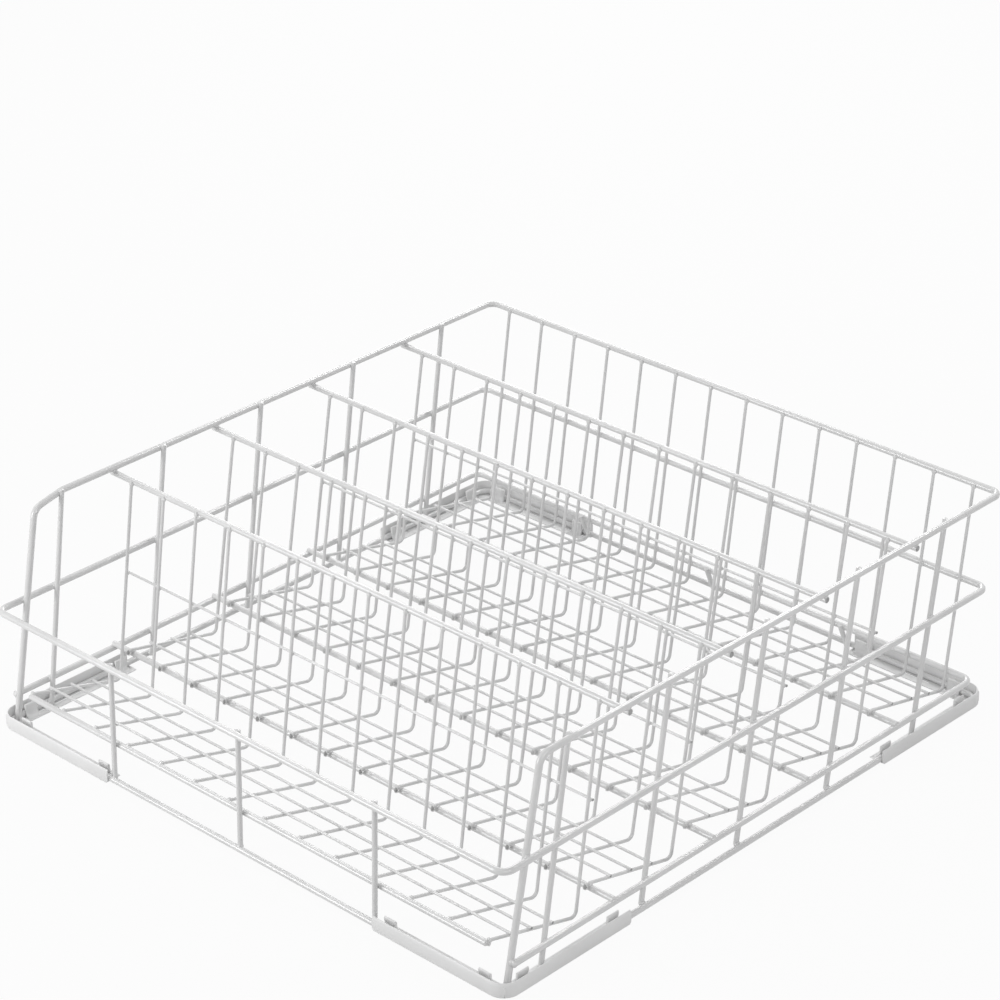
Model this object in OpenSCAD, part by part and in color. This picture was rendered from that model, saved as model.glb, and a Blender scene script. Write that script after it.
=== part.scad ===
// Glass washer basket: an open-fronted coated-wire rack with five sloping
// rows for glasses, standing on four moulded corner guides.
// Millimetres, +Z up. The open front faces -Y. The origin is on the floor
// under the middle of the overall box.

/* [Overall size] */
// Width and depth over the corner guides
foot_w = 500; // [400:1:600]
// Distance from the front face of the guides to the top rim at the back
rim_reach = 508.6; // [480:0.1:560]
// Distance between one carrier and the next
row_pitch = 97.9; // [85:0.1:105]
// Distance between one divider and the next
divider_pitch = 97.6; // [85:0.1:105]

/* [Frame wires] */
// Diameter of the top rim wire and its two front legs
rim_d = 4.8; // [4:0.1:6]
// Diameter of the ring at mid height
middle_d = 4.8; // [4:0.1:6]
// Diameter of the lower rail
lower_d = 4.6; // [4:0.1:6]
// Diameter of the ring the guides hold
base_d = 4.5; // [4:0.1:5]
// Diameter of the short upright posts
post_d = 3.8; // [3:0.1:5]

/* [Row wires] */
// Diameter of the carrier under each row
carrier_d = 4.5; // [4:0.1:5.5]
// Diameter of the divider at the top of each row
divider_d = 4.5; // [4:0.1:5.5]
// Diameter of the bent row wires
bent_d = 2.4; // [2:0.1:3]
// Diameter of the fine long wires
fine_d = 2; // [1.6:0.1:2.6]
// Number of bent wires in one row
bent_count = 14; // [8:1:18]
// Distance between bent wires
bent_pitch = 34.6; // [26:0.1:35]

/* [Heights] */
// Height of the top rim
rim_z = 163.4; // [140:0.1:200]
// Height of the ring at mid height
middle_z = 92.4; // [80:0.1:110]
// Height of the lower rail
lower_z = 21.4; // [18:0.1:26]
// Height of the carriers behind the first
carrier_z = 23.8; // [23.5:0.1:25]
// Height of the first carrier
front_carrier_z = 28.8; // [28:0.1:31]
// Height where the two legs of a bent wire would meet
row_foot_z = 7.3; // [6:0.1:10]

/* [Lean] */
// Lean of the back, in degrees
back_lean = 8.8; // [4:0.1:11]
// Lean of the side posts, in degrees
post_lean = 9.1; // [4:0.1:11]

/* [Bends] */
// Bend radius at the two back corners of the top rim
rim_bend_r = 7.5; // [6:0.5:16]
// Bend radius where the rim turns down into a leg
leg_bend_r = 9; // [6:0.5:14]
// Bend radius of the ring at mid height
middle_bend_r = 8; // [6:0.5:16]
// Bend radius of the lower rail
lower_bend_r = 7.5; // [6:0.5:16]
// Bend radius at the foot of a row wire
row_bend_r = 4.5; // [3:0.5:8]

/* [Corner guides] */
// Length of each arm of a guide
guide_arm = 118.5; // [100:0.5:150]
// Height of the outer wall
guide_h = 11; // [9.5:0.1:14]
// Width of the guide's floor
guide_w = 13.4; // [13:0.1:15]
// Outer corner radius
guide_r = 13; // [12.5:0.5:20]
// Length of one clip hook
hook_len = 10; // [8:0.5:12]

/* [Hidden] */
$fn = 48;
weld = 0.3;
deep_weld = 1;
bend_lap = 0.2;
bend_swell = 0.06;
half_w = 246.5 * foot_w / 500;
depth = rim_reach + rim_d / 2;
front_y = -depth / 2;
rim_back = front_y + rim_reach;
back_slope = tan(back_lean);
post_slope = tan(post_lean);

// Guide section
wall_t = 1.5;
floor_t = 0.9;
edge_cut = 0.8;
edge_round = 0.4;
band_in = 0.9;
band_h = 2.3;
hook_root = [7, 8.1];
hook_head = [5.9, 7.8];
hook_knee_z = 4.4;
hook_fillet_r = 4.2;
fillet_sink = 0.15;
hook_near = 23.5;
hook_far = 108;
slot_in = 6.3;
slot_w = 1.6;
slots = [[15, 35.5], [45, 70], [95, 116]];
end_cut = 2.2;

// Base ring: close to the guide walls in front and behind, looser at the sides
base_z = floor_t + base_d / 2;
base_in = wall_t + base_d / 2 + 0.1;
base_side_in = base_in + 0.45;
base_half = foot_w / 2 - base_side_in;
base_bend_r = guide_r - base_in;
post_foot_z = base_z + 0.2;

// Rings that follow the lean of the back
back_contact = (rim_d + bent_d) / 2 - deep_weld;
function back_y(z) = rim_back - back_contact - (rim_z - z) * back_slope;
middle_front = front_y + 5;
middle_back = back_y(middle_z) + (middle_d + bent_d) / 2 - weld;
lower_half = half_w - 1.1;
lower_front = front_y + 13.2;
lower_back = back_y(lower_z) + (lower_d + bent_d) / 2 - weld;

// Legs: foot, knee under the rim and the start of the rim's drop
leg_foot = [half_w - 4.7, front_y + 10.3, post_foot_z];
leg_knee = [half_w - 3.2, front_y + 42.2, rim_z - 3.4];
rim_drop = [half_w, front_y + 70, rim_z];
drop_bend_r = 18;

// Side posts, a little further in at the foot than at the rim
post_foot_x = half_w - 4.6;
post_head_x = half_w - 3.2;
post_first = front_y + 55.9;
post_pitch = 95.3;
post_top_z = rim_z + rim_d / 2 - 0.6;

// Short posts at the front and stubs at the back
front_post_x = 129;
front_post_foot = front_y + 5.3;
front_post_head = middle_front + (middle_d + post_d) / 2 - weld;
front_post_top = middle_z + 0.8;
back_post_foot = front_y + foot_w - base_in - (base_d + post_d) / 2 + weld;
back_post_head = lower_back - (lower_d + post_d) / 2 + weld;
back_post_top = lower_z + 3;

// Rows
rows = 5;
bent_half = (bent_count - 1) * bent_pitch / 2;
divider_z = rim_z - (rim_d + divider_d) / 2 + weld;
divider_half = foot_w / 2 - 1.2;
divider_contact = (divider_d + bent_d) / 2 - deep_weld;
carrier_half = foot_w / 2 - 3.6;
carrier_first = front_y + 8;
front_carrier = [front_y + 10.7, front_carrier_z];
front_carrier_half = bent_half - 0.4;
first_run = 81.7;
row_run = 79.6;
first_rise = 1.85;
wire_gap = (carrier_d + bent_d) / 2;
first_tip = wire_gap - deep_weld;
row_tip = -wire_gap - 0.1;
tip_drop = 3.6;
tip_lean = 1;
tip_bend_r = 2;
top_rise = 0.6;

// Fine wires: how far each lies behind the carrier of its row
first_steps = [19.7, 38.5, 58.2];
row_steps = [18.2, 38.2, 58.4];
last_steps = [20, 42.2, 62.8];
fine_half = bent_half + 0.9 + bent_d / 2;
fence_wire_z = 90.4;
fine_lift = (bent_d + fine_d) / 2 - 0.2;

// Y of the divider above row i, counted from zero
function divider_y(i) = rim_back - (rows - 1 - i) * divider_pitch;
// Carrier centre of row i as [y, z]
function carrier_at(i) =
  i == 0 ? front_carrier : [carrier_first + i * row_pitch, carrier_z];
// Foot of row i, where floor line and fence line meet
function row_foot(i) = [
  i == rows - 1 ? back_y(row_foot_z) : carrier_at(i)[0] + (i == 0 ? first_run : row_run),
  row_foot_z
];
// Slope of the fence of row i, up to its divider or to the rim
function fence_slope(i) =
  i == rows - 1 ? back_slope
  : (divider_y(i) - divider_contact - row_foot(i)[0]) / (divider_z - row_foot_z);
// Y of the fence line of row i at height z
function fence_y(i, z) = row_foot(i)[0] + (z - row_foot_z) * fence_slope(i);
// Point of the floor line above the carrier
function row_rest(i) = [
  carrier_at(i)[0],
  carrier_at(i)[1] + (i == 0 ? first_rise : wire_gap - weld)
];
function floor_slope(i) =
  (row_rest(i)[1] - row_foot_z) / (row_foot(i)[0] - row_rest(i)[0]);
function floor_z(i, y) = row_rest(i)[1] - (y - row_rest(i)[0]) * floor_slope(i);
function floor_steps(i) = i == 0 ? first_steps : i == rows - 1 ? last_steps : row_steps;

wire_colour = [0.93, 0.93, 0.93];
guide_colour = [0.80, 0.80, 0.80];

// ---------- helpers ----------

function unit(v) = v / norm(v);

// Straight wire from a to b
module rod(a, b, d) {
  run = b - a;
  translate(a)
    rotate([0, acos(run[2] / norm(run)), atan2(run[1], run[0])])
      cylinder(h = norm(run), d = d);
}

// Bend of radius r at corner v, between directions u and w. A lap above zero
// runs it that far over the straight wire at both ends, a hair thicker.
module elbow(v, u, w, r, d, lap = 0) {
  angle = acos(u * w);
  over = lap / r * 180 / PI;
  n = unit(w - (w * u) * u);
  a = cross(u, n);
  c = v - u * r * tan(angle / 2) + n * r;
  multmatrix([
    [-n[0], u[0], a[0], c[0]],
    [-n[1], u[1], a[1], c[1]],
    [-n[2], u[2], a[2], c[2]]
  ])
    rotate([0, 0, -over])
      rotate_extrude(angle = angle + 2 * over)
        translate([r, 0])
          circle(d = lap > 0 ? d + bend_swell : d);
}

function setback(p, i, r) =
  let(u = unit(p[i] - p[i - 1]), w = unit(p[i + 1] - p[i]))
  r[i] * tan(acos(u * w) / 2);

// Open wire through the points p, bent to radius r[i] at point i
module wire(p, r, d) {
  last = len(p) - 1;
  for (i = [0 : last - 1]) {
    u = unit(p[i + 1] - p[i]);
    from = i == 0 ? 0 : setback(p, i, r);
    to = i == last - 1 ? 0 : setback(p, i + 1, r);
    rod(p[i] + u * from, p[i + 1] - u * to, d);
  }
  for (i = [1 : last - 1])
    elbow(p[i], unit(p[i] - p[i - 1]), unit(p[i + 1] - p[i]), r[i], d, bend_lap);
}

// Closed rectangular ring with round corners at height z
module ring(half, y0, y1, z, r, d) {
  for (s = [-1, 1]) {
    rod([s * half, y0 + r, z], [s * half, y1 - r, z], d);
    rod([r - half, s < 0 ? y0 : y1, z], [half - r, s < 0 ? y0 : y1, z], d);
  }
  elbow([half, y0, z], [1, 0, 0], [0, 1, 0], r, d);
  elbow([half, y1, z], [0, 1, 0], [-1, 0, 0], r, d);
  elbow([-half, y1, z], [-1, 0, 0], [0, -1, 0], r, d);
  elbow([-half, y0, z], [0, -1, 0], [1, 0, 0], r, d);
}

// ---------- frame ----------

module base_ring()
  color(wire_colour)
    ring(base_half, front_y + base_in, front_y + foot_w - base_in, base_z,
      base_bend_r, base_d);

module lower_rail()
  color(wire_colour)
    wire([
      [-lower_half, lower_front, lower_z],
      [-lower_half, lower_back, lower_z],
      [lower_half, lower_back, lower_z],
      [lower_half, lower_front, lower_z]
    ], [0, lower_bend_r, lower_bend_r, 0], lower_d);

module middle_ring()
  color(wire_colour)
    ring(half_w, middle_front, middle_back, middle_z, middle_bend_r, middle_d);

module top_rim()
  color(wire_colour)
    wire([
      [-leg_foot[0], leg_foot[1], leg_foot[2]],
      [-leg_knee[0], leg_knee[1], leg_knee[2]],
      [-rim_drop[0], rim_drop[1], rim_drop[2]],
      [-half_w, rim_back, rim_z],
      [half_w, rim_back, rim_z],
      rim_drop,
      leg_knee,
      leg_foot
    ], [0, leg_bend_r, drop_bend_r, rim_bend_r, rim_bend_r, drop_bend_r, leg_bend_r, 0],
      rim_d);

// Side post i on the left (side -1) or right (side 1)
module side_post(side, i) {
  y = post_first + i * post_pitch;
  color(wire_colour)
    rod(
      [side * post_foot_x, y + (post_foot_z - middle_z) * post_slope, post_foot_z],
      [side * post_head_x, y + (post_top_z - middle_z) * post_slope, post_top_z],
      post_d
    );
}

module left_post_1() side_post(-1, 0);
module left_post_2() side_post(-1, 1);
module left_post_3() side_post(-1, 2);
module left_post_4() side_post(-1, 3);
module left_post_5() side_post(-1, 4);
module right_post_1() side_post(1, 0);
module right_post_2() side_post(1, 1);
module right_post_3() side_post(1, 2);
module right_post_4() side_post(1, 3);
module right_post_5() side_post(1, 4);

// Short post behind the front of the middle ring
module front_post(x)
  color(wire_colour)
    rod([x, front_post_foot, post_foot_z], [x, front_post_head, front_post_top], post_d);

module front_post_1() front_post(-front_post_x);
module front_post_2() front_post(0);
module front_post_3() front_post(front_post_x);

// Stub between the base ring and the back of the lower rail
module back_post(x)
  color(wire_colour)
    rod([x, back_post_foot, base_z], [x, back_post_head, back_post_top], post_d);

module back_post_1() back_post(-front_post_x);
module back_post_2() back_post(0);
module back_post_3() back_post(front_post_x);

// ---------- rows ----------

module carrier(i) {
  at = carrier_at(i);
  half = i == 0 ? front_carrier_half : carrier_half;
  color(wire_colour)
    rod([-half, at[0], at[1]], [half, at[0], at[1]], carrier_d);
}

module carrier_1() carrier(0);
module carrier_2() carrier(1);
module carrier_3() carrier(2);
module carrier_4() carrier(3);
module carrier_5() carrier(4);

module divider(i)
  color(wire_colour)
    rod([-divider_half, divider_y(i), divider_z], [divider_half, divider_y(i), divider_z],
      divider_d);

module divider_1() divider(0);
module divider_2() divider(1);
module divider_3() divider(2);
module divider_4() divider(3);

// The bent wires of row i: a short tip turned down at the carrier (behind the
// first carrier, in front of the others), the sloping floor and the fence
module row_wires(i) {
  tip_y = carrier_at(i)[0] + (i == 0 ? first_tip : row_tip);
  tip_z = floor_z(i, tip_y);
  top_z = (i == rows - 1 ? rim_z : divider_z) + top_rise;
  color(wire_colour)
    for (n = [0 : bent_count - 1]) {
      x = n * bent_pitch - bent_half;
      wire([
        [x, tip_y - tip_lean, tip_z - tip_drop],
        [x, tip_y, tip_z],
        [x, row_foot(i)[0], row_foot(i)[1]],
        [x, fence_y(i, top_z), top_z]
      ], [0, tip_bend_r, row_bend_r, 0], bent_d);
    }
}

module row_wires_1() row_wires(0);
module row_wires_2() row_wires(1);
module row_wires_3() row_wires(2);
module row_wires_4() row_wires(3);
module row_wires_5() row_wires(4);

// Three fine wires laid across the floor of row i
module floor_wires(i)
  color(wire_colour)
    for (step = floor_steps(i)) {
      y = carrier_at(i)[0] + step;
      z = floor_z(i, y) + fine_lift;
      rod([-fine_half, y, z], [fine_half, y, z], fine_d);
    }

module floor_wires_1() floor_wires(0);
module floor_wires_2() floor_wires(1);
module floor_wires_3() floor_wires(2);
module floor_wires_4() floor_wires(3);
module floor_wires_5() floor_wires(4);

// One fine wire behind the fence of row i
module fence_wire(i) {
  y = fence_y(i, fence_wire_z) + fine_lift;
  color(wire_colour)
    rod([-fine_half, y, fence_wire_z], [fine_half, y, fence_wire_z], fine_d);
}

module fence_wire_1() fence_wire(0);
module fence_wire_2() fence_wire(1);
module fence_wire_3() fence_wire(2);
module fence_wire_4() fence_wire(3);

// ---------- corner guides ----------

// Outer wall with a sloped band along its top; x runs inward, w is the floor's width
module guide_section(w, cut)
  polygon([
    [edge_cut, 0],
    [w - cut, 0],
    [w, cut],
    [w, floor_t],
    [wall_t, floor_t],
    [wall_t, guide_h],
    [band_in, guide_h],
    [0, guide_h - band_h],
    [0, edge_cut]
  ]);

// Hook section, leaning out over the base ring, on a solid triangular foot
module hook_section()
  polygon([
    [hook_root[0], floor_t - edge_round],
    [hook_root[1] + hook_fillet_r, floor_t - edge_round],
    [hook_root[1] + hook_fillet_r, floor_t],
    [hook_root[1], floor_t + hook_fillet_r],
    [hook_head[1], guide_h - edge_cut],
    [hook_head[1] - edge_cut, guide_h],
    [hook_head[0] + edge_round, guide_h],
    [hook_head[0], guide_h - edge_round],
    [hook_head[0], guide_h - band_h],
    [hook_root[0], hook_knee_z]
  ]);

// Section run along +Y from y0, for the given length
module run_along(y0, length)
  translate([0, y0, 0])
    rotate([90, 0, 180])
      mirror([1, 0, 0])
        linear_extrude(length)
          children();

// Hook centred on y, its foot hollowed to a fillet that runs out on the floor
module hook(y)
  difference() {
    run_along(y - hook_len / 2, hook_len)
      hook_section();
    translate([
      hook_root[1] + hook_fillet_r - fillet_sink,
      y,
      floor_t + hook_fillet_r - fillet_sink
    ])
      rotate([90, 0, 0])
        cylinder(h = hook_len + 1, r = hook_fillet_r, center = true);
  }

// Arm along +Y whose outer face is at x = 0
module guide_arm_solid() {
  difference() {
    run_along(guide_r, guide_arm - guide_r)
      guide_section(guide_w, edge_round);
    for (slot = slots)
      translate([slot_in, slot[0], -1])
        cube([slot_w, slot[1] - slot[0], floor_t + 2]);
    // The lower corner of the arm's end is cut away
    translate([guide_w / 2, guide_arm, 0])
      rotate([45, 0, 0])
        cube([guide_w + 2, end_cut * sqrt(2), end_cut * sqrt(2)], center = true);
  }
  hook(hook_near);
  hook(hook_far);
}

// Guide with its outer corner at the origin and arms along +X and +Y
module guide() {
  guide_arm_solid();
  mirror([1, -1, 0])
    guide_arm_solid();
  translate([guide_r, guide_r, 0])
    rotate([0, 0, 180])
      rotate_extrude(angle = 90)
        translate([guide_r, 0])
          mirror([1, 0])
            guide_section(guide_r, 0);
}

module guide_front_left()
  color(guide_colour)
    translate([-foot_w / 2, front_y, 0])
      guide();

module guide_front_right()
  color(guide_colour)
    translate([foot_w / 2, front_y, 0])
      rotate([0, 0, 90])
        guide();

module guide_back_right()
  color(guide_colour)
    translate([foot_w / 2, front_y + foot_w, 0])
      rotate([0, 0, 180])
        guide();

module guide_back_left()
  color(guide_colour)
    translate([-foot_w / 2, front_y + foot_w, 0])
      rotate([0, 0, 270])
        guide();

// ---------- assembly ----------

base_ring();
lower_rail();
middle_ring();
top_rim();
left_post_1();
left_post_2();
left_post_3();
left_post_4();
left_post_5();
right_post_1();
right_post_2();
right_post_3();
right_post_4();
right_post_5();
front_post_1();
front_post_2();
front_post_3();
back_post_1();
back_post_2();
back_post_3();
carrier_1();
carrier_2();
carrier_3();
carrier_4();
carrier_5();
divider_1();
divider_2();
divider_3();
divider_4();
row_wires_1();
row_wires_2();
row_wires_3();
row_wires_4();
row_wires_5();
floor_wires_1();
floor_wires_2();
floor_wires_3();
floor_wires_4();
floor_wires_5();
fence_wire_1();
fence_wire_2();
fence_wire_3();
fence_wire_4();
guide_front_left();
guide_front_right();
guide_back_left();
guide_back_right();
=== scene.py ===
"""Glass washer basket: a coated-wire rack with five sloping glass rows on
four moulded corner guides. The frame's own axes are used: +Z up, the open
front towards -Y, the floor at z = 0. Sizes of wires, lumps and guides are in
millimetres. The camera, the floor and the lights are in metres."""

import math
from collections import namedtuple

import bmesh
import bpy
from mathutils import Matrix, Vector

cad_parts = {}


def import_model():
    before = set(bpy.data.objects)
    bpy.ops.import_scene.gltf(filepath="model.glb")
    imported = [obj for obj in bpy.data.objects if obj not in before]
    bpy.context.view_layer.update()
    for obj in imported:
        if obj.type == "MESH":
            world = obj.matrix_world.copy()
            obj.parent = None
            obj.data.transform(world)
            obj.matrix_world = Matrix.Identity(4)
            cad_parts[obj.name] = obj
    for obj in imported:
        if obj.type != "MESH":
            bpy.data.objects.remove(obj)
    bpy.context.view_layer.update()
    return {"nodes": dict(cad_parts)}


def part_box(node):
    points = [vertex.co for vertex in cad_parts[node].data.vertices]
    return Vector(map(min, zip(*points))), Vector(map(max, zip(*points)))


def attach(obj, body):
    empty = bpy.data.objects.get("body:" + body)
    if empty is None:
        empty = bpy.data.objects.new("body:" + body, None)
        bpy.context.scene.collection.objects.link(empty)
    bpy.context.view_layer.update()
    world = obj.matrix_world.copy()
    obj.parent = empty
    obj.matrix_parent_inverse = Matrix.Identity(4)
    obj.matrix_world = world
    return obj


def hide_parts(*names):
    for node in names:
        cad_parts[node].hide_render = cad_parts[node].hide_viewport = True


MM = 0.001
SIDES = (-1, 1)

# Sizes of the wires
RIM_R = 2.4
LOWER_R = 2.3
BASE_R = 2.25
POST_R = 1.9
CARRIER_R = 2.25
BENT_R = 1.2
FINE_R = 1.0
BENT_COUNT = 14
ROWS = 5
LEG_FOOT = Vector((241.8, -245.2, 3.35))
LEG_KNEE = Vector((243.3, -213.3, 160.0))

# How small lumps are cast
BEAD_SEGMENTS = 10
BEAD_RINGS = 6
END_DOME = 0.4
TIP_REACH = 2.2

# Each lump: how far it lies from the middle of the wire, ring or end that
# places it, its half sizes along X, Y and Z, and its lean about X in degrees
Lump = namedtuple("Lump", ("shift", "size", "turn"), defaults=(0,))
CENTRED = (0, 0, 0)
FLOOR_WELD = Lump((0, 0, -1.0), (1.9, 1.7, 1.1))
FENCE_WELD = Lump((0, -1.0, 0), (1.7, 1.1, 1.9))
FINE_END = Lump(CENTRED, (END_DOME, FINE_R, FINE_R))
FRONT_HOOK_WELD = Lump((0, 2.3, 1.2), (2.0, 1.5, 1.9))
HOOK_WELD = Lump((0, 0, CARRIER_R + 0.1), (2.1, 2.3, 1.0))
FENCE_HEAD_WELD = Lump((0, -0.2, -1.2), (2.0, 1.5, 1.9))
FENCE_HEAD = Lump((0, -BENT_R, -0.2), (BENT_R, BENT_R, 0.7))
SHEARED_TIP = Lump((0, BENT_R + 0.2, 2.1), (1.32, 1.38, 2.0), -15)
POST_WELD = Lump(CENTRED, (1.5, 2.7, 2.6))
POST_FOOT_WELD = Lump((0.8, 0, 0.9), (2.4, 2.7, 2.0))
POST_HEAD = Lump(CENTRED, (POST_R, POST_R, END_DOME))
CARRIER_END = Lump(CENTRED, (END_DOME, CARRIER_R, CARRIER_R))
CARRIER_WELD = Lump((0, 0, 1.2), (2.5, 3.0, 1.9))
DIVIDER_END = Lump((-0.3, 0, 0), (0.9, CARRIER_R + 0.03, CARRIER_R + 0.03))
DIVIDER_WELD = Lump((0, 0, 2.2), (2.3, 2.9, 1.6))
RAIL_END = Lump((0, 0.2, 0), (LOWER_R + 0.4, 1.5, LOWER_R + 0.4))
LEG_WELD = Lump((1.9, 0, 0), (1.7, 3.0, 2.9))
FRONT_POST_WELD = Lump((0, -1.6, -0.3), (2.7, 1.6, 2.5))
FRONT_FOOT_WELD = Lump((0, 0, 1.6), (2.5, 2.3, 1.6))
BACK_FOOT_WELD = Lump((0, 1.7, 0.4), (2.7, 1.6, 2.4))
BACK_POST_WELD = Lump((0, -2.0, 0), (2.7, 1.6, 2.4))
BACK_RING_WELD = Lump((0, -2.2, 0), (2.1, 1.3, 2.1))
BACK_RAIL_WELD = Lump((0, -2.1, 0), (2.0, 1.3, 2.0))

# Moulded guides
GUIDE_SOFTNESS = 0.3
GUIDE_SOFT_STEPS = 2
GUIDE_ROUND = 0.5
GUIDE_SHARP = 28.0
GUIDE_FLAT = 1.0
GUIDE_CORNER_R = 13.0
MOULD_LINE_R = 0.45
MOULD_LINE_SIDES = 10
MOULD_LINE = (0.9, 8.6)

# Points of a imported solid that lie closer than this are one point
SAME_POINT = 0.001

# Skins
COAT_ROUGHNESS = 0.08
PATCH_DETAIL = 3
PATCH_LOW = 0.35
PATCH_HIGH = 0.7
RIPPLE_DETAIL = 2

# Sockets of the mix nodes that share a name: factor, first, second and result
MIX_FACTOR, MIX_FIRST, MIX_SECOND, MIX_RESULT = 0, 6, 7, 2
BLEND_FIRST, BLEND_SECOND = 1, 2

# Floor and surround
FLOOR_SIZE = 24.0
FLOOR_LIFT = 0.0002
FLOOR_GREY = 0.6
FLOOR_ROUGHNESS = 0.9
FLOOR_SHINE = 0.1
FLOOR_WHITE = 0.94
AMBIENT = 0.36
MIRRORED_GREY = 0.8

# Soft lights: name, place, aim, width and power in watts
BASKET_HEART = (0, 0, 0.05)
LIGHTS = (
    ("left top light", (-1.3, -0.1, 1.65), BASKET_HEART, 0.55, 4),
    ("back top light", (0.15, 1.3, 1.65), BASKET_HEART, 0.6, 10),
    ("back left light", (-1.2, 1.3, 0.9), BASKET_HEART, 0.8, 8),
    ("right light", (1.5, -0.6, 1.0), BASKET_HEART, 1.0, 8.5),
    ("front light", (-0.7, -1.25, 0.5), (0, -0.1, 0.05), 0.7, 9),
)

# Camera: a long lens that looks down on the front right corner
CAMERA_AIM = Vector((-0.1598, 0.1690, 0.050))
CAMERA_DISTANCE = 2.59506
CAMERA_AZIMUTH = 44.217
CAMERA_ELEVATION = 27.2355
CAMERA_ROLL = -0.957
CAMERA_LENS = 120.87
CAMERA_SENSOR = 36.0
CAMERA_REACH = 50.0

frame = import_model()
nodes = frame["nodes"]


# ---------- materials ----------

def new_group(name, inputs, outputs):
    """A shader node group with named sockets, and its two end nodes."""
    group = bpy.data.node_groups.new(name, "ShaderNodeTree")
    for way, sockets in (("INPUT", inputs), ("OUTPUT", outputs)):
        for label, kind in sockets:
            group.interface.new_socket(
                label, in_out=way, socket_type=f"NodeSocket{kind}"
            )
    tree = group.nodes
    return group, tree.new("NodeGroupInput"), tree.new("NodeGroupOutput")


def coat_tone_group():
    """Slow changes of tone and gloss in a dipped or moulded skin, and its ripple."""
    group, source, result = new_group(
        "coat tone",
        (
            ("Colour", "Color"),
            ("Shade", "Color"),
            ("Patch size", "Float"),
            ("Ripple size", "Float"),
            ("Roughness", "Float"),
            ("Roughness change", "Float"),
        ),
        (("Colour", "Color"), ("Roughness", "Float"), ("Ripple", "Float")),
    )
    tree, links = group.nodes, group.links
    place = tree.new("ShaderNodeTexCoord")

    patches = tree.new("ShaderNodeTexNoise")
    patches.inputs["Detail"].default_value = PATCH_DETAIL
    links.new(place.outputs["Object"], patches.inputs["Vector"])
    links.new(source.outputs["Patch size"], patches.inputs["Scale"])

    spread = tree.new("ShaderNodeMapRange")
    spread.inputs["From Min"].default_value = PATCH_LOW
    spread.inputs["From Max"].default_value = PATCH_HIGH
    links.new(patches.outputs["Fac"], spread.inputs["Value"])

    tint = tree.new("ShaderNodeMix")
    tint.data_type = "RGBA"
    links.new(spread.outputs["Result"], tint.inputs[MIX_FACTOR])
    links.new(source.outputs["Colour"], tint.inputs[MIX_FIRST])
    links.new(source.outputs["Shade"], tint.inputs[MIX_SECOND])
    links.new(tint.outputs[MIX_RESULT], result.inputs["Colour"])

    gloss = tree.new("ShaderNodeMath")
    gloss.operation = "MULTIPLY_ADD"
    links.new(spread.outputs["Result"], gloss.inputs[0])
    links.new(source.outputs["Roughness change"], gloss.inputs[1])
    links.new(source.outputs["Roughness"], gloss.inputs[2])
    links.new(gloss.outputs["Value"], result.inputs["Roughness"])

    ripple = tree.new("ShaderNodeTexNoise")
    ripple.inputs["Detail"].default_value = RIPPLE_DETAIL
    links.new(place.outputs["Object"], ripple.inputs["Vector"])
    links.new(source.outputs["Ripple size"], ripple.inputs["Scale"])
    links.new(ripple.outputs["Fac"], result.inputs["Ripple"])
    return group


COAT_TONE = coat_tone_group()


def grey(value):
    return (value, value, value, 1)


def skin(name, colour, shade, patch, ripple, roughness, change, depth, coat=0):
    """A plastic skin between two greys: tone, gloss and ripple come from the
    shared group. The depth of the ripple is in mm."""
    material = bpy.data.materials.new(name)
    material.use_nodes = True
    tree, links = material.node_tree.nodes, material.node_tree.links
    shader = tree["Principled BSDF"]
    shader.inputs["Coat Weight"].default_value = coat
    shader.inputs["Coat Roughness"].default_value = COAT_ROUGHNESS
    tone = tree.new("ShaderNodeGroup")
    tone.node_tree = COAT_TONE
    for label, value in (
        ("Colour", grey(colour)),
        ("Shade", grey(shade)),
        ("Patch size", patch),
        ("Ripple size", ripple),
        ("Roughness", roughness),
        ("Roughness change", change),
    ):
        tone.inputs[label].default_value = value
    links.new(tone.outputs["Colour"], shader.inputs["Base Color"])
    links.new(tone.outputs["Roughness"], shader.inputs["Roughness"])
    bump = tree.new("ShaderNodeBump")
    bump.inputs["Distance"].default_value = depth * MM
    links.new(tone.outputs["Ripple"], bump.inputs["Height"])
    links.new(bump.outputs["Normal"], shader.inputs["Normal"])
    return material


# Two greys, fineness of the patches and of the ripple, roughness and how far it
# changes, and the depth of the ripple
COATED_WIRE = skin("coated wire", 0.72, 0.67, 28, 150, 0.34, 0.06, 0.01, coat=1)
GUIDE_PLASTIC = skin("guide plastic", 0.82, 0.78, 18, 1400, 0.38, 0.10, 0.02)
# Painted shade: a dark grey on the ends of the fine wires and of the dividers,
# standing for the shade under the rim and beside the crossing wires
PAINTED_SHADE_END = skin("painted shade ends", 0.42, 0.30, 300, 2500, 0.40, 0.10, 0.03)
# Darker greys on the lumps over the bent-down tips: darkest on row 2, lighter on rows
# 3 to 5, while row 1 keeps the wire's coat
GREY_TIP = skin("grey tip", 0.60, 0.50, 300, 2500, 0.38, 0.08, 0.03)
DARK_TIP = skin("dark tip", 0.40, 0.28, 300, 2500, 0.45, 0.10, 0.03)
ROW_TIPS = (COATED_WIRE, DARK_TIP, GREY_TIP, GREY_TIP, GREY_TIP)


def is_guide(node):
    return node.startswith("guide")


def wear(obj, material):
    """Puts one material in every slot of an object."""
    if not obj.material_slots:
        obj.data.materials.append(material)
    for place in obj.material_slots:
        place.material = material


for name, node in nodes.items():
    wear(node, GUIDE_PLASTIC if is_guide(name) else COATED_WIRE)


# ---------- pieces and measures ----------

def new_object(name, data):
    obj = bpy.data.objects.new(name, data)
    bpy.context.scene.collection.objects.link(obj)
    return obj


def new_piece(name, mesh, material):
    """A finished mesh as an object at the origin, in one material."""
    data = bpy.data.meshes.new(name)
    mesh.to_mesh(data)
    mesh.free()
    data.materials.append(material)
    return new_object(name, data)


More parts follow.
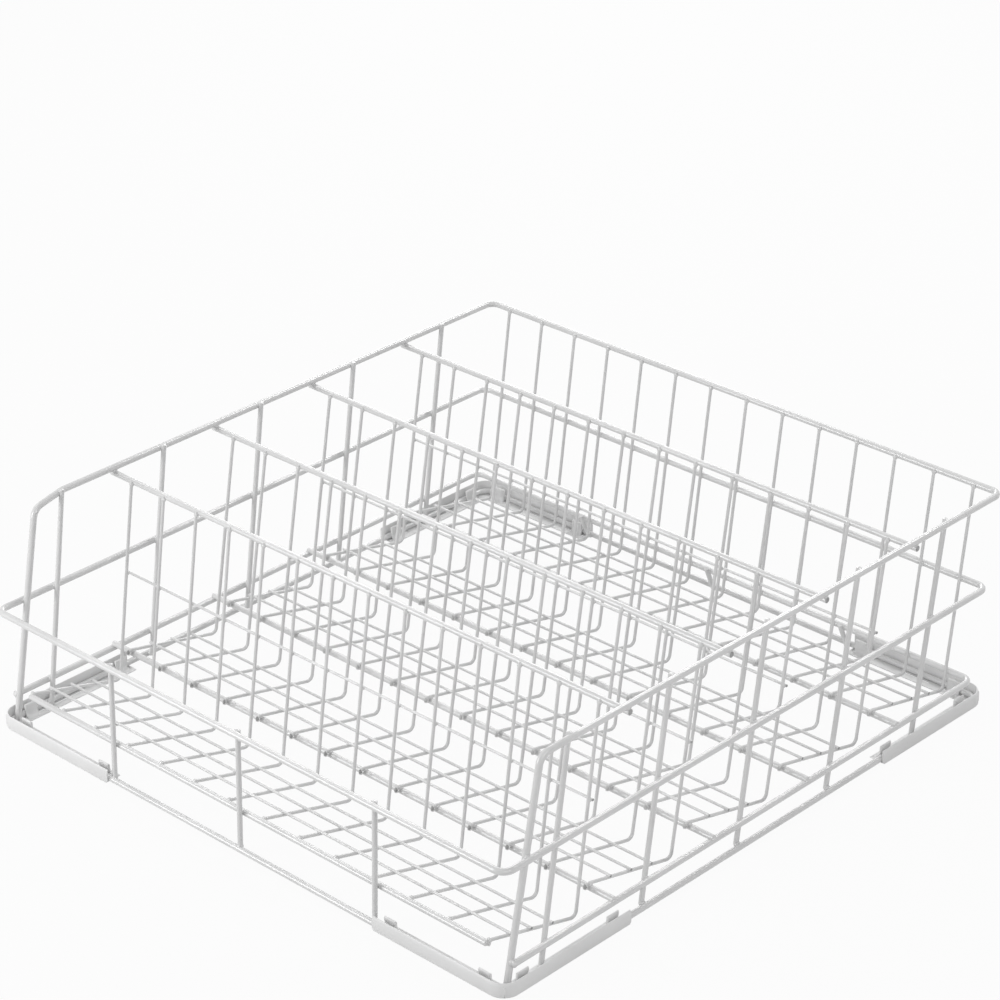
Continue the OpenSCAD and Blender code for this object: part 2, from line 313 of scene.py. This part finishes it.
def node_mesh(node):
    """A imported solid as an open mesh, its shared points joined."""
    mesh = bmesh.new()
    mesh.from_mesh(nodes[node].data)
    bmesh.ops.remove_doubles(mesh, verts=mesh.verts, dist=SAME_POINT * MM)
    return mesh


def box_mm(node):
    low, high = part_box(node)
    return Vector(low) / MM, Vector(high) / MM


def middle(node):
    low, high = box_mm(node)
    return (low + high) / 2


def hoop_corner(node, radius):
    """The middle line of a ring at its back right corner and top."""
    return box_mm(node)[1] - Vector((radius,) * 3)


def bent_lines(i):
    """The x of each bent wire of row i."""
    low, high = box_mm(f"row_wires_{i}")
    first, last = low.x + BENT_R, high.x - BENT_R
    return [first + n * (last - first) / (BENT_COUNT - 1) for n in range(BENT_COUNT)]


def rods(node):
    """The (y, z) of each straight wire along X in a node, and how far they reach."""
    mesh = node_mesh(node)
    reach = max(point.co.x for point in mesh.verts) / MM
    points = sorted(
        (point.co.y / MM, point.co.z / MM) for point in mesh.verts if point.co.x > 0
    )
    mesh.free()
    found, group = [], [points[0]]
    for point in points[1:] + [(math.inf, 0)]:
        if point[0] - group[-1][0] > FINE_R:
            found.append(tuple((min(axis) + max(axis)) / 2 for axis in zip(*group)))
            group = []
        group.append(point)
    return found, reach


# ---------- wires: weld beads and ends ----------

def bead_form():
    """A sphere of one millimetre radius that every lump is cast from."""
    mesh = bmesh.new()
    bmesh.ops.create_uvsphere(
        mesh, u_segments=BEAD_SEGMENTS, v_segments=BEAD_RINGS, radius=MM
    )
    data = bpy.data.meshes.new("bead form")
    mesh.to_mesh(data)
    mesh.free()
    return data


BEAD = bead_form()


class Beads:
    """A set of small rounded lumps kept as one piece."""

    def __init__(self, name, material):
        self.name, self.material = name, material
        self.mesh = bmesh.new()

    def add(self, kind, x, y, z, side=1):
        """One lump of a kind by the point x, y, z, on the right or left side."""
        right, back, up = kind.shift
        form = BEAD.copy()
        form.transform(
            Matrix.Translation(Vector((side * (x + right), y + back, z + up)) * MM)
            @ Matrix.Rotation(math.radians(kind.turn), 4, "X")
            @ Matrix.Diagonal((*kind.size, 1))
        )
        self.mesh.from_mesh(form)
        bpy.data.meshes.remove(form)

    def done(self):
        for face in self.mesh.faces:
            face.smooth = True
        obj = new_piece(self.name, self.mesh, self.material)
        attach(obj, "root")


def fine_wire_beads(i, lines, beads, ends):
    """Welds and ends of the fine wires across the floor and fence of row i."""
    crossings, reach = rods(f"floor_wires_{i}")
    for y, z in crossings:
        for x in lines:
            beads.add(FLOOR_WELD, x, y, z)
        for side in SIDES:
            ends.add(FINE_END, reach, y, z, side)
    if i < ROWS:
        fence = middle(f"fence_wire_{i}")
        for x in lines:
            beads.add(FENCE_WELD, x, fence.y, fence.z)
        for side in SIDES:
            ends.add(FINE_END, reach, fence.y, fence.z, side)


def row_beads(i):
    """Welds, wire ends and sheared tips of row i, counted from one."""
    beads = Beads(f"row_{i}_welds", COATED_WIRE)
    # The fine wire ends are darkened with painted shade
    ends = Beads(f"row_{i}_ends", PAINTED_SHADE_END)
    tips = Beads(f"row_{i}_tips", ROW_TIPS[i - 1])
    low, high = box_mm(f"row_wires_{i}")
    lines = bent_lines(i)
    fine_wire_beads(i, lines, beads, ends)

    carrier = middle(f"carrier_{i}")
    hook = FRONT_HOOK_WELD if i == 1 else HOOK_WELD
    head, head_r = ("top_rim", RIM_R) if i == ROWS else (f"divider_{i}", CARRIER_R)
    top = box_mm(head)[1]
    points = (point.co / MM for point in nodes[f"row_wires_{i}"].data.vertices)
    foot = min(point.z for point in points if point.y < low.y + TIP_REACH)
    for x in lines:
        beads.add(hook, x, carrier.y, carrier.z)
        beads.add(FENCE_HEAD_WELD, x, top.y - 2 * head_r, top.z - head_r)
        beads.add(FENCE_HEAD, x, high.y, high.z)
        tips.add(SHEARED_TIP, x, low.y, foot)
    beads.done()
    ends.done()
    tips.done()


def post_beads(side, i, hoops, base, beads):
    """Welds of side post i on the hoops and the base ring, and its rounded head."""
    low, high = box_mm(f"{'left' if side < 0 else 'right'}_post_{i}")
    near, far = sorted((abs(low.x), abs(high.x)))
    foot = Vector((near + POST_R, low.y + POST_R, low.z))
    head = Vector((far - POST_R, high.y - POST_R, high.z))
    for hoop in hoops:
        spot = foot.lerp(head, (hoop.z - foot.z) / (head.z - foot.z))
        beads.add(POST_WELD, (spot.x + hoop.x) / 2, spot.y, hoop.z, side)
    beads.add(POST_FOOT_WELD, foot.x, foot.y, base.z, side)
    beads.add(POST_HEAD, head.x, head.y, head.z, side)


def cross_wire_beads(side, i, rim, rail, beads, ends):
    """Welds and one end of carrier i and, behind it, of divider i."""
    carrier = middle(f"carrier_{i}")
    reach = box_mm(f"carrier_{i}")[1].x
    beads.add(CARRIER_END, reach, carrier.y, carrier.z, side)
    if i > 1:
        beads.add(CARRIER_WELD, rail.x, carrier.y, rail.z, side)
    if i < ROWS:
        divider = middle(f"divider_{i}")
        reach = box_mm(f"divider_{i}")[1].x
        ends.add(DIVIDER_END, reach, divider.y, divider.z, side)
        beads.add(DIVIDER_WELD, rim.x, divider.y, divider.z, side)


def short_post_beads(i, ring, rail, base, beads):
    """Welds of front post i and back post i, and the front one's rounded head."""
    low, high = box_mm(f"front_post_{i}")
    x, y = (low.x + high.x) / 2, high.y - POST_R
    beads.add(FRONT_POST_WELD, x, y, ring.z)
    beads.add(FRONT_FOOT_WELD, x, low.y + POST_R, base.z)
    beads.add(POST_HEAD, x, y, high.z)
    back = box_mm(f"back_post_{i}")[1]
    beads.add(BACK_FOOT_WELD, x, back.y - POST_R, base.z)
    beads.add(BACK_POST_WELD, x, rail.y, rail.z)


def frame_beads():
    """Welds between the rings, posts, legs, carriers and dividers, and their ends."""
    beads = Beads("frame_welds", COATED_WIRE)
    # The divider ends are darkened with painted shade
    ends = Beads("divider_ends", PAINTED_SHADE_END)
    rim = hoop_corner("top_rim", RIM_R)
    ring = hoop_corner("middle_ring", RIM_R)
    rail = hoop_corner("lower_rail", LOWER_R)
    base = hoop_corner("base_ring", BASE_R)
    rail_front = box_mm("lower_rail")[0].y

    for side in SIDES:
        for i in range(1, ROWS + 1):
            post_beads(side, i, (rim, ring, rail), base, beads)
            cross_wire_beads(side, i, rim, rail, beads, ends)
        beads.add(RAIL_END, rail.x, rail_front, rail.z, side)
        for z in (rail.z, ring.z):
            leg = LEG_FOOT.lerp(LEG_KNEE, (z - LEG_FOOT.z) / (LEG_KNEE.z - LEG_FOOT.z))
            beads.add(LEG_WELD, leg.x, leg.y, z, side)
    for i in (1, 2, 3):
        short_post_beads(i, ring, rail, base, beads)
    for x in bent_lines(ROWS):
        beads.add(BACK_RING_WELD, x, ring.y, ring.z)
        beads.add(BACK_RAIL_WELD, x, rail.y, rail.z)
    beads.done()
    ends.done()


for number in range(1, ROWS + 1):
    row_beads(number)
frame_beads()


# ---------- guides ----------

def soft_guide(node):
    """The guide with its edges rounded as the mould leaves them."""
    mesh = node_mesh(node)
    bmesh.ops.dissolve_limit(
        mesh, angle_limit=math.radians(GUIDE_FLAT), verts=mesh.verts, edges=mesh.edges
    )
    sharp = [
        edge for edge in mesh.edges
        if len(edge.link_faces) == 2
        and edge.calc_face_angle(0) > math.radians(GUIDE_SHARP)
    ]
    bmesh.ops.bevel(
        mesh, geom=sharp, offset=GUIDE_SOFTNESS * MM, segments=GUIDE_SOFT_STEPS,
        profile=GUIDE_ROUND, affect="EDGES", material=-1, clamp_overlap=True,
    )
    bmesh.ops.recalc_face_normals(mesh, faces=mesh.faces)
    for face in mesh.faces:
        face.smooth = True
    for edge in mesh.edges:
        edge.smooth = edge.calc_face_angle(0) < math.radians(GUIDE_SHARP)
    obj = new_piece(f"soft_{node}", mesh, GUIDE_PLASTIC)
    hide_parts(node)
    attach(obj, "root")


for name in list(nodes):
    if is_guide(name):
        soft_guide(name)


def mould_lines():
    """The parting line left on the outer corner of each guide."""
    mesh = bmesh.new()
    inset = GUIDE_CORNER_R * (1 - math.sqrt(0.5))
    bottom, top = MOULD_LINE
    for end, y_side in (("front", -1), ("back", 1)):
        for word, x_side in (("left", -1), ("right", 1)):
            low, high = box_mm(f"guide_{end}_{word}")
            spot = Vector((
                low.x + inset if x_side < 0 else high.x - inset,
                low.y + inset if y_side < 0 else high.y - inset,
                (bottom + top) / 2,
            ))
            bmesh.ops.create_cone(
                mesh, cap_ends=True, segments=MOULD_LINE_SIDES,
                radius1=MOULD_LINE_R * MM, radius2=MOULD_LINE_R * MM,
                depth=(top - bottom) * MM, matrix=Matrix.Translation(spot * MM),
            )
    for face in mesh.faces:
        face.smooth = len(face.verts) == 4
    obj = new_piece("mould_lines", mesh, GUIDE_PLASTIC)
    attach(obj, "root")


mould_lines()


# ---------- stage ----------

def white_to_the_eye(tree, links):
    """One for rays of the camera and of mirrors or glass, otherwise nought."""
    rays = tree.new("ShaderNodeLightPath")
    total = rays.outputs["Is Camera Ray"]
    for kind in ("Is Glossy Ray", "Is Transmission Ray"):
        larger = tree.new("ShaderNodeMath")
        larger.operation = "MAXIMUM"
        links.new(total, larger.inputs[0])
        links.new(rays.outputs[kind], larger.inputs[1])
        total = larger.outputs["Value"]
    return total


def blend(tree, links, share, first, second, end):
    """Mixes two shaders by a share and leads the result to the end node."""
    mix = tree.new("ShaderNodeMixShader")
    links.new(share, mix.inputs["Fac"])
    links.new(first, mix.inputs[BLEND_FIRST])
    links.new(second, mix.inputs[BLEND_SECOND])
    links.new(mix.outputs["Shader"], tree[end].inputs["Surface"])


def pale_floor():
    """White to the eye, with a little left over for the basket's shadow."""
    material = bpy.data.materials.new("pale floor")
    material.use_nodes = True
    tree, links = material.node_tree.nodes, material.node_tree.links
    shader = tree["Principled BSDF"]
    shader.inputs["Base Color"].default_value = grey(FLOOR_GREY)
    shader.inputs["Roughness"].default_value = FLOOR_ROUGHNESS
    shader.inputs["Specular IOR Level"].default_value = FLOOR_SHINE
    white = tree.new("ShaderNodeEmission")
    white.inputs["Color"].default_value = grey(1)
    share = tree.new("ShaderNodeMath")
    share.operation = "MULTIPLY"
    share.inputs[1].default_value = FLOOR_WHITE
    links.new(white_to_the_eye(tree, links), share.inputs[0])
    blend(
        tree, links, share.outputs["Value"],
        shader.outputs["BSDF"], white.outputs["Emission"], "Material Output",
    )
    return material


def floor():
    mesh = bmesh.new()
    bmesh.ops.create_grid(mesh, x_segments=1, y_segments=1, size=FLOOR_SIZE / 2)
    bmesh.ops.translate(mesh, vec=(0, 0, -FLOOR_LIFT), verts=mesh.verts)
    obj = new_piece("floor", mesh, pale_floor())


def world():
    """A plain surround that lights softly and is paler in mirrors."""
    surround = bpy.data.worlds.new("surround")
    bpy.context.scene.world = surround
    surround.use_nodes = True
    tree, links = surround.node_tree.nodes, surround.node_tree.links
    light = tree["Background"]
    light.inputs["Color"].default_value = grey(1)
    light.inputs["Strength"].default_value = AMBIENT
    pale = tree.new("ShaderNodeBackground")
    pale.inputs["Color"].default_value = grey(MIRRORED_GREY)
    blend(
        tree, links, white_to_the_eye(tree, links),
        light.outputs["Background"], pale.outputs["Background"], "World Output",
    )


def softbox(name, place, aim, size, power):
    data = bpy.data.lights.new(name, "AREA")
    data.size = size
    data.energy = power
    lamp = new_object(name, data)
    lamp.location = place
    way = Vector(aim) - Vector(place)
    lamp.rotation_euler = way.to_track_quat("-Z", "Y").to_euler()


def camera():
    turn, rise = math.radians(CAMERA_AZIMUTH), math.radians(CAMERA_ELEVATION)
    back = Vector((
        math.sin(turn) * math.cos(rise),
        -math.cos(turn) * math.cos(rise),
        math.sin(rise),
    ))
    right = Vector((math.cos(turn), math.sin(turn), 0))
    level = Matrix((right, back.cross(right), back)).transposed()
    roll = Matrix.Rotation(math.radians(CAMERA_ROLL), 3, back)
    data = bpy.data.cameras.new("camera")
    data.lens = CAMERA_LENS
    data.sensor_width = CAMERA_SENSOR
    data.clip_end = CAMERA_REACH
    obj = new_object("camera", data)
    obj.matrix_world = Matrix.Translation(CAMERA_AIM + back * CAMERA_DISTANCE) @ (
        roll @ level
    ).to_4x4()
    bpy.context.scene.camera = obj


floor()
world()
for light in LIGHTS:
    softbox(*light)
camera()
bpy.context.scene.view_settings.view_transform = "Standard"
